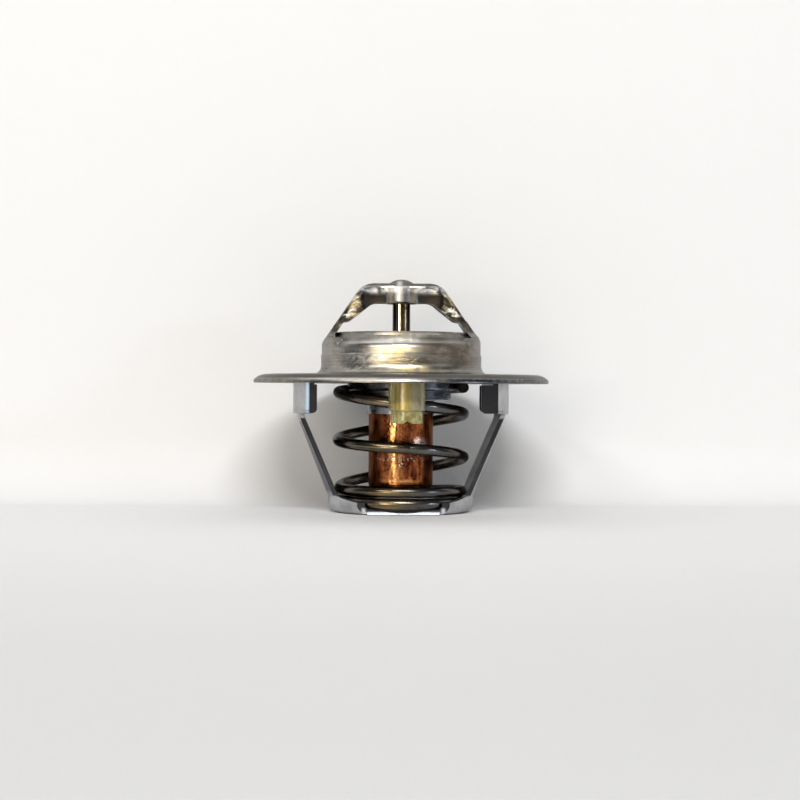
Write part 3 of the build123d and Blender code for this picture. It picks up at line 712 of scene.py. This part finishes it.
# Painted reflection: a bluish patch on the front right of the guide cup.
guide_steel.paint(guide_steel.around(x, 7.2, 4.0) * guide_steel.between(-1.0 * y, 1.0, 4.0), GUIDE_REFLECTION_BLUE)
guide_steel.drive(Base_Color=guide_steel.colour)
guide_steel.report()

# %% [markdown]
# The pin is drawn and ground rod, so smooth that it shows the room as long
# upright streaks: white, dark and gold in its middle, dark at both sides. The
# lamps alone give weaker ones, so the streaks are painted too.

# %% Pin streaks
PIN_WHITE = (0.97, 0.92, 0.80)
PIN_DARK = (0.10, 0.06, 0.025)
PIN_GOLD = (0.86, 0.66, 0.34)
PIN_SIDE = (0.06, 0.045, 0.03)
x, _, _ = pin_steel.split(pin_steel.place)
pin_steel.paint(pin_steel.around(x, -0.42, 0.42) * 0.9, PIN_WHITE)
pin_steel.paint(pin_steel.around(x, 0.10, 0.22) * 0.8, PIN_DARK)
pin_steel.paint(pin_steel.around(x, 0.55, 0.30) * 0.7, PIN_GOLD)
pin_steel.paint(pin_steel.between(pin_steel.maths("ABSOLUTE", x), 0.95, 1.35), PIN_SIDE)
pin_steel.drive(Base_Color=pin_steel.colour)
pin_steel.report()

# %% [markdown]
# ### The lower frame
#
# The frame is punched from strip: its faces keep the bright skin of the strip,
# while the sheared edges are torn and dull. Every face that looks along Y, a
# sheared edge or an ear turned in, is painted nearly black as painted shade, and
# the normal tells those faces apart. The left leg is darker, its left bend gets a
# painted blue highlight, and the recess in the cup gets painted glints at its
# corners and a painted highlight along its lower edge.

# %% Frame steel
BEND_REACH = 17.15
FOOT_RISE = (0.35, 0.6)
LEG_FOOT = (3.4, 4.2)
LEG_HEAD = (16.2, 16.8)
STRIP_DARK = (0.40, 0.40, 0.41)
STRIP_LIGHT = (0.58, 0.58, 0.60)
EDGE_SHADE_BLACK = (0.030, 0.031, 0.038)
LEFT_LEG_GREY = (0.10, 0.105, 0.12)
BEND_HIGHLIGHT_BLUE = (0.56, 0.76, 1.0)

frame_steel = worked_metal("frame_steel", STRIP_DARK, STRIP_LIGHT, 0.34, rolled_lines, depth=None)
x, y, z = frame_steel.split(frame_steel.place)
# Painted shade: faces that look along Y, sheared edges and ears, go nearly black.
sheared_and_shaded = frame_steel.between(frame_steel.facing_y(), 0.86, 0.95) * frame_steel.between(z, *FOOT_RISE)
frame_steel.paint(sheared_and_shaded * 0.95, EDGE_SHADE_BLACK)
on_leg = frame_steel.between(z, *LEG_FOOT) * (1.0 - frame_steel.between(z, *LEG_HEAD))
# The left leg is painted darker.
left_leg_dark = on_leg * (1.0 - frame_steel.between(x, -1.0, 1.0)) * (1.0 - sheared_and_shaded)
frame_steel.paint(left_leg_dark * 0.75, LEFT_LEG_GREY)
# Painted highlight: blue on the front of the left bend.
bend_highlight = frame_steel.around(x, -BEND_REACH, 0.50) * frame_steel.between(z, 16.6, 17.2)
bend_highlight = bend_highlight * frame_steel.between(-1.0 * y, 3.0, 4.0)
frame_steel.paint(bend_highlight, BEND_HIGHLIGHT_BLUE)
frame_steel.report()

# %% Recess of the frame
RECESS_GLINT_WHITE = (0.80, 0.83, 0.88)
RIM_HIGHLIGHT_GREY = (0.21, 0.225, 0.25)
RIM_HEIGHT = 0.25

aside = frame_steel.maths("ABSOLUTE", x)
# Painted glints at the corners of the recess.
recess_glints = frame_steel.around(aside, 7.1, 0.6) * (1.0 - frame_steel.between(z, 0.9, 1.5))
frame_steel.paint(recess_glints * frame_steel.between(-1.0 * y, 3.0, 5.0) * 0.9, RECESS_GLINT_WHITE)
# Painted highlight along the lower edge of the recess.
rim = (1.0 - frame_steel.between(aside, 6.4, 6.9)) * frame_steel.between(-1.0 * y, 5.0, 7.0)
rim_highlight = rim * (1.0 - frame_steel.between(z, 0.35, 0.55))
frame_steel.paint(rim_highlight * 0.9, RIM_HIGHLIGHT_GREY)
rim_roll = RIM_HEIGHT * rim * (1.0 - frame_steel.between(z, 0.0, 0.8))
frame_steel.bump(frame_steel.marks * 0.006 + rim_roll)
frame_steel.drive(Base_Color=frame_steel.colour, Roughness=frame_steel.rough + sheared_and_shaded * 0.14 - bend_highlight * 0.2)
frame_steel.report()

# %% [markdown]
# ### The spring wire
#
# Drawn wire has a thin dark skin, and fine lines run along it. At the front it
# gets a painted warm reflection on the left and a painted cool one on the right.
# The winding stored where each point lies across and along the wire, so the
# lines follow the coil, and the sheared ends can be told from its side.

# %% Spring wire
WIRE_DARK = (0.062, 0.052, 0.040)
WIRE_LIGHT = (0.165, 0.145, 0.118)
WIRE_WARM_REFLECTION = (0.50, 0.37, 0.17)
WIRE_COOL_REFLECTION = (0.17, 0.18, 0.20)
CUT_BLACK = (0.03, 0.027, 0.024)

spring_wire = worked_metal("spring_wire", WIRE_DARK, WIRE_LIGHT, 0.23, wire_lines, 0.3, 0.002)
x, y, _ = spring_wire.split(spring_wire.place)
front = spring_wire.between(-1.0 * y, 4.0, 8.0)
# Painted reflections at the front: warm gold on the left, cool blue on the right.
front_highlight = spring_wire.between(spring_wire.marks, 0.42, 0.58) * front
spring_wire.paint(front_highlight * spring_wire.around(x, -3.4, 4.5) * 0.6, WIRE_WARM_REFLECTION)
spring_wire.paint(front * spring_wire.around(x, 5.5, 5.0) * 0.45, WIRE_COOL_REFLECTION)
across, upward, _ = spring_wire.split(spring_wire.wire_place)
off_centre = spring_wire.maths("SQRT", across * across + upward * upward)
cut_end = 1.0 - spring_wire.between(off_centre, 0.7, 0.97)
spring_wire.paint(cut_end, CUT_BLACK)
spring_wire.drive(Base_Color=spring_wire.colour, Roughness=spring_wire.rough + cut_end * 0.3)
spring_wire.report()

# %% [markdown]
# ### The wax cup
#
# The cup is deep-drawn from copper, so its marks run up it. Heat has turned it
# brown. Its sides get painted shade, and the front a painted highlight in a
# broken streak up it and in a ring near its foot. A scuff stands for the wear of
# handling, and a few rows of pale flecks are painted glints. The bump raises both
# a little.

# %% Copper
COPPER_DARK = (0.10, 0.022, 0.009)
COPPER_LIGHT = (0.46, 0.145, 0.048)
COPPER_EDGE = (0.62, 0.57, 0.53)
COPPER_HIGHLIGHT = (0.95, 0.46, 0.15)
SIDE_SHADE_BROWN = (0.12, 0.052, 0.034)

copper = worked_metal("cup_copper", COPPER_DARK, COPPER_LIGHT, 0.16, upright_lines, 0.3, None, COPPER_EDGE)
x, y, z = copper.split(copper.place)
aside = copper.maths("ABSOLUTE", x)
front = copper.between(-1.0 * y, 2.0, 4.0)
streak_breakup = copper.between(copper.noise(copper.stretch(copper.place, (2.2, 2.2, 0.25)), 1.0, 3.0), 0.38, 0.60)
# Painted highlights: a broken streak up the front and a ring near the foot.
front_streak_highlight = copper.around(x, -1.3, 1.9) * front * streak_breakup
foot_ring_highlight = copper.around(z, 5.8, 0.5) * front * copper.around(x, -0.5, 5.0)
copper.paint(copper.maths("MAXIMUM", front_streak_highlight, foot_ring_highlight) * 0.85, COPPER_HIGHLIGHT)
# Painted shade at the sides.
copper.paint(copper.between(aside, 4.8, 6.1) * 0.8, SIDE_SHADE_BROWN)
copper.report()

# %% Wear and painted glints of the copper
SCUFF_AND_GLINT_PINK = (0.98, 0.74, 0.62)
DENT_DEPTH = 0.14

scuff = copper.around(x, 3.2, 2.1) * copper.around(z, 12.6, 1.5) * front
scuff = scuff * copper.between(copper.noise(copper.place, 1.6, 4.0), 0.38, 0.50)
# Painted glints: rows of pale flecks on the front.
fleck_glints = copper.around(x, -0.4, 1.2) * copper.around(z, 9.4, 1.6)
fleck_glints = fleck_glints + copper.around(z, 9.9, 0.6) * copper.around(aside, 2.6, 3.0)
fleck_glints = fleck_glints * front * copper.between(copper.noise(copper.place, 2.4, 3.0), 0.52, 0.60)
copper.paint(copper.maths("MAXIMUM", scuff, fleck_glints), SCUFF_AND_GLINT_PINK)
side_dull = copper.between(aside, 2.8, 4.6) * 0.2
copper.drive(Base_Color=copper.colour, Roughness=copper.rough + scuff * 0.2 + side_dull)
dents = copper.noise(copper.stretch(copper.place, (0.9, 0.9, 0.35)), 1.0, 3.0)
copper.bump(dents * DENT_DEPTH + copper.marks * 0.012 + fleck_glints * 0.06 + scuff * 0.05)
copper.report()

# %% [markdown]
# ### Plastics, rubber and wax
#
# These are moulded or poured, so nothing in them runs one way. A slow cloud and
# a fine grain mix two tones that lie close together, and the grain also gives
# the roughness and a shallow bump.


# %% Soft solids
def soft_solid(name, dark, light, roughness, grain, depth):
    """A moulded or poured material: two close tones and a fine grain."""
    finish = Finish(name)
    place = finish.millimetres()
    cloud = finish.noise(place, 0.6, 3.0)
    fine = finish.noise(place, grain, 3.0)
    finish.drive(
        Base_Color=finish.mix(finish.between(cloud * 0.6 + fine * 0.4, 0.35, 0.65), dark, light),
        Roughness=roughness + (fine - 0.5) * 0.2,
    )
    finish.bump(fine, depth)
    finish.report()
    return finish


white_polymer = soft_solid("white_polymer", (0.74, 0.74, 0.71), (0.82, 0.82, 0.80), 0.45, 5.0, 0.004)
black_rubber = soft_solid("black_rubber", (0.012, 0.012, 0.013), (0.03, 0.03, 0.03), 0.7, 7.0, 0.01)
seal_rubber = soft_solid("seal_rubber", (0.015, 0.014, 0.013), (0.04, 0.038, 0.035), 0.65, 7.0, 0.01)
wax = soft_solid("wax", (0.55, 0.44, 0.27), (0.72, 0.62, 0.44), 0.5, 3.0, 0.02)

# %% [markdown]
# ### The bleed housing
#
# This small moulding is amber plastic that lets light through. Glass with a
# coloured volume would be truer but slow and noisy. Half transmission, a thin
# coat and a tint that changes over the piece look the same from a step away:
# streaks where the melt flowed, a clearer right side, a painted reflection in
# one upright streak of bright orange, and a foot clouded by crumbs of scale.

# %% Bleed housing
HONEY_DARK = (0.36, 0.28, 0.055)
HONEY_LIGHT = (0.62, 0.50, 0.15)
CLEAR_GREY = (0.44, 0.42, 0.27)
ORANGE_REFLECTION = (1.0, 0.74, 0.20)
SCALE_DARK = (0.36, 0.31, 0.09)
SCALE_LIGHT = (0.62, 0.56, 0.24)

amber = Finish("amber_plastic", Transmission_Weight=0.5, IOR=1.5, Coat_Weight=0.4)
place = amber.millimetres()
x, _, z = amber.split(place)
flow = amber.noise(amber.stretch(place, (1.7, 1.7, 0.10)), 1.0, 3.0)
amber.colour = amber.mix(amber.between(flow, 0.38, 0.62), HONEY_DARK, HONEY_LIGHT)
amber.paint(amber.between(x + (flow - 0.5) * 1.5, 0.2, 0.9) * 0.75, CLEAR_GREY)
# Painted reflection: an upright orange streak above the foot.
amber.paint(amber.around(x, -0.75, 0.8) * amber.between(z, 18.4, 19.0), ORANGE_REFLECTION)
crumbs = amber.between(amber.noise(place, 0.9, 3.0), 0.42, 0.60)
amber.paint(1.0 - amber.between(z, 18.3, 18.7), amber.mix(crumbs, SCALE_DARK, SCALE_LIGHT))
amber.drive(Base_Color=amber.colour, Roughness=0.14 + flow * 0.16)
amber.bump(flow * 0.6 + crumbs * 0.4, 0.06)
amber.report()

# %% [markdown]
# ### Which piece gets which finish
#
# The CAD nodes arrive in plain grey. Each one is given its own material, so
# that a later change of one finish can't touch another piece.

# %% Give each node its finish
dressing = {
    "seat_housing": housing,
    "lower_frame": frame_steel,
    "piston_pin": pin_steel,
    "valve_plate": plate_steel,
    "spring_guide": guide_steel,
    "retaining_ring": ring_steel,
    "element_guide": guide_brass,
    "element_collar": collar_steel,
    "wax_cup": copper,
    "seal_washer": washer_steel,
    "backup_ring": white_polymer,
    "rubber_sleeve": black_rubber,
    "pin_seal": seal_rubber,
    "wax_charge": wax,
    "bleed_housing": amber,
    "bleed_ball": ball_steel,
}
for name, finish in dressing.items():
    nodes[name].data.materials.clear()
    nodes[name].data.materials.append(finish.material)
spring.data.materials.append(spring_wire.material)
print("finished nodes:", len(dressing), "and the spring")

# %% [markdown]
# ## Studio
#
# A sheet of paper, curved up behind the part, gives the plain background and
# carries its shadow. A floor and a wall could do it too, but the line where
# they meet would show. The paper is one-sided, so it vanishes from behind, and
# a flat sheet there carries on the table top.

# %% Paper
PAPER_DISTANCE = 28 * MM
PAPER_COVE = 13 * MM
PAPER_REACH = 2.0
PAPER_GREY = 0.79
FAR_FLOOR_GREY = 0.80
NEAR_FLOOR_SHADE_GREY = 0.55
NEAR_FLOOR = -240.0
FAR_FLOOR = 0.0
WALL_FOOT = -1.0
WALL_TOP = 16.0
COVE_STEPS = 24


def add_paper():
    """The outline of the sheet, seen from the side, swept from left to right."""
    bm = bmesh.new()
    corner = PAPER_DISTANCE - PAPER_COVE
    first = bm.verts.new((-PAPER_REACH, -PAPER_REACH, 0.0))
    second = bm.verts.new((-PAPER_REACH, corner, 0.0))
    bm.edges.new((first, second))
    centre = (0.0, corner, PAPER_COVE)
    quarter = {"angle": math.pi / 2, "steps": COVE_STEPS}
    turned = bmesh.ops.spin(bm, geom=[second], cent=centre, axis=(1.0, 0.0, 0.0), **quarter)
    last = only(bmesh.types.BMVert, turned["geom_last"])[0]
    top = bm.verts.new((-PAPER_REACH, PAPER_DISTANCE, PAPER_REACH))
    bm.edges.new((last, top))
    swept = bmesh.ops.extrude_edge_only(bm, edges=bm.edges[:])
    moved = only(bmesh.types.BMVert, swept["geom"])
    bmesh.ops.translate(bm, verts=moved, vec=(2 * PAPER_REACH, 0.0, 0.0))
    bmesh.ops.remove_doubles(bm, verts=bm.verts[:], dist=1e-6)
    bmesh.ops.recalc_face_normals(bm, faces=bm.faces[:])
    if sum(f.normal.z * f.calc_area() for f in bm.faces) < 0:
        bmesh.ops.reverse_faces(bm, faces=bm.faces[:])
    sheet = object_from(bm, "paper")
    for face in sheet.data.polygons:
        face.use_smooth = True
    return sheet


def paper_finish():
    """White paper, greyer near the camera as painted shade, and clear from behind."""
    sheet = Finish("white_paper", Roughness=0.9, Specular_IOR_Level=0.1)
    _, depth, height = sheet.split(sheet.millimetres())
    # Painted shade: the floor turns greyer towards the camera.
    far = sheet.between(depth, NEAR_FLOOR, FAR_FLOOR)
    sheet.colour = sheet.mix(far, (NEAR_FLOOR_SHADE_GREY,) * 3, (FAR_FLOOR_GREY,) * 3)
    sheet.paint(sheet.between(height, WALL_FOOT, WALL_TOP), (PAPER_GREY,) * 3)
    sheet.drive(Base_Color=sheet.colour)
    from_behind = sheet.node("ShaderNodeNewGeometry", output="Backfacing")
    clear = sheet.node("ShaderNodeBsdfTransparent")
    front = Wire(sheet, sheet.shader.outputs[0])
    mixed = sheet.node("ShaderNodeMixShader", None, {0: from_behind, 1: front, 2: clear})
    sheet.nodes.links.new(mixed.socket, sheet.nodes.nodes["Material Output"].inputs["Surface"])
    return sheet.material


def add_back_floor():
    """The table top behind the paper, which only the views from behind show."""
    bm = bmesh.new()
    bmesh.ops.create_grid(bm, x_segments=1, y_segments=1, size=PAPER_REACH)
    bmesh.ops.translate(bm, verts=bm.verts[:], vec=(0.0, PAPER_REACH + PAPER_DISTANCE - PAPER_COVE, 0.0))
    floor = object_from(bm, "back_floor")
    return floor


paper = add_paper()
back_floor = add_back_floor()
white_paper = paper_finish()
paper.data.materials.append(white_paper)
back_floor.data.materials.append(white_paper)
print("paper faces:", len(paper.data.polygons))

# %% [markdown]
# ## Light
#
# Metal shows its room more than it shows its own colour, so the room matters
# as much as the finish. One soft lamp above and in front throws the shadow, and
# a narrow one to the left draws the edges. A warm lamp, a low lamp and a cool
# window stand close to the table, and the round metal shows them as upright
# streaks. A picture of a real room could light the part, but a few lamps and a
# gradient, pale overhead and dim behind the camera, are easier to steer.


# %% Lamps
LAMP_TARGET = Vector((0.0, 0.0, 20 * MM))
WHITE = (1.0, 1.0, 1.0)
WARM_WHITE = (1.0, 0.95, 0.86)
LAMP_YELLOW = (1.0, 0.76, 0.46)
SKY_BLUE = (0.74, 0.87, 1.0)
# name, azimuth and elevation in degrees, distance and size in metres, watts, colour
LAMPS = [
    ("key_lamp", 0, 35, 0.7, (0.34, 0.08), 3.2, WHITE),
    ("side_lamp", -36, 30, 0.8, (0.28, 0.05), 0.85, WHITE),
    ("warm_lamp", -20, 9, 0.9, (0.46, 0.04), 0.65, LAMP_YELLOW),
    ("low_lamp", -30, 2, 0.9, (0.20, 0.10), 0.65, WARM_WHITE),
    ("cool_window", 54, 9, 0.9, (0.14, 0.08), 0.8, SKY_BLUE),
]


def direction(azimuth, elevation):
    """From the part towards a lamp; an azimuth of 0 is the front, and + is right."""
    turn = math.radians(azimuth)
    rise = math.radians(elevation)
    return Vector((math.sin(turn) * math.cos(rise), -math.cos(turn) * math.cos(rise), math.sin(rise)))


def add_softbox(name, azimuth, elevation, distance, size, watts, colour):
    """A flat lamp that looks at the part."""
    data = bpy.data.lights.new(name, "AREA")
    data.shape = "RECTANGLE"
    data.size, data.size_y = size
    data.energy = watts
    data.color = colour
    lamp = bpy.data.objects.new(name, data)
    bpy.context.scene.collection.objects.link(lamp)
    lamp.location = LAMP_TARGET + direction(azimuth, elevation) * distance
    lamp.rotation_euler = (LAMP_TARGET - lamp.location).to_track_quat("-Z", "Y").to_euler()


for lamp in LAMPS:
    add_softbox(*lamp)
print("lamps:", len(LAMPS))

# %% Room
ROOM_SIDES = (0.15, 0.163, 0.188)
ROOM_BEHIND_CAMERA = (0.075, 0.06, 0.042)
ROOM_OVERHEAD = (0.65, 0.66, 0.69)


def light_world():
    """A room that is pale overhead and dim behind the camera."""
    world = bpy.data.worlds.new("room")
    bpy.context.scene.world = world
    world.use_nodes = True
    room = Tree(world.node_tree)
    _, y, z = room.split(room.node("ShaderNodeTexCoord", output="Generated"))
    overhead = room.between(z, 0.78, 0.93)
    behind_camera = room.between(-1.0 * y, -0.05, 0.65)
    sides = room.mix(behind_camera, ROOM_SIDES, ROOM_BEHIND_CAMERA)
    background = room.nodes.nodes["Background"]
    room.feed(background.inputs["Color"], room.mix(overhead, sides, ROOM_OVERHEAD))
    room.feed(background.inputs["Strength"], 1.0)
    return world


bpy.context.scene.view_settings.view_transform = "Standard"
print("room:", light_world().name, "and the view is", bpy.context.scene.view_settings.view_transform)
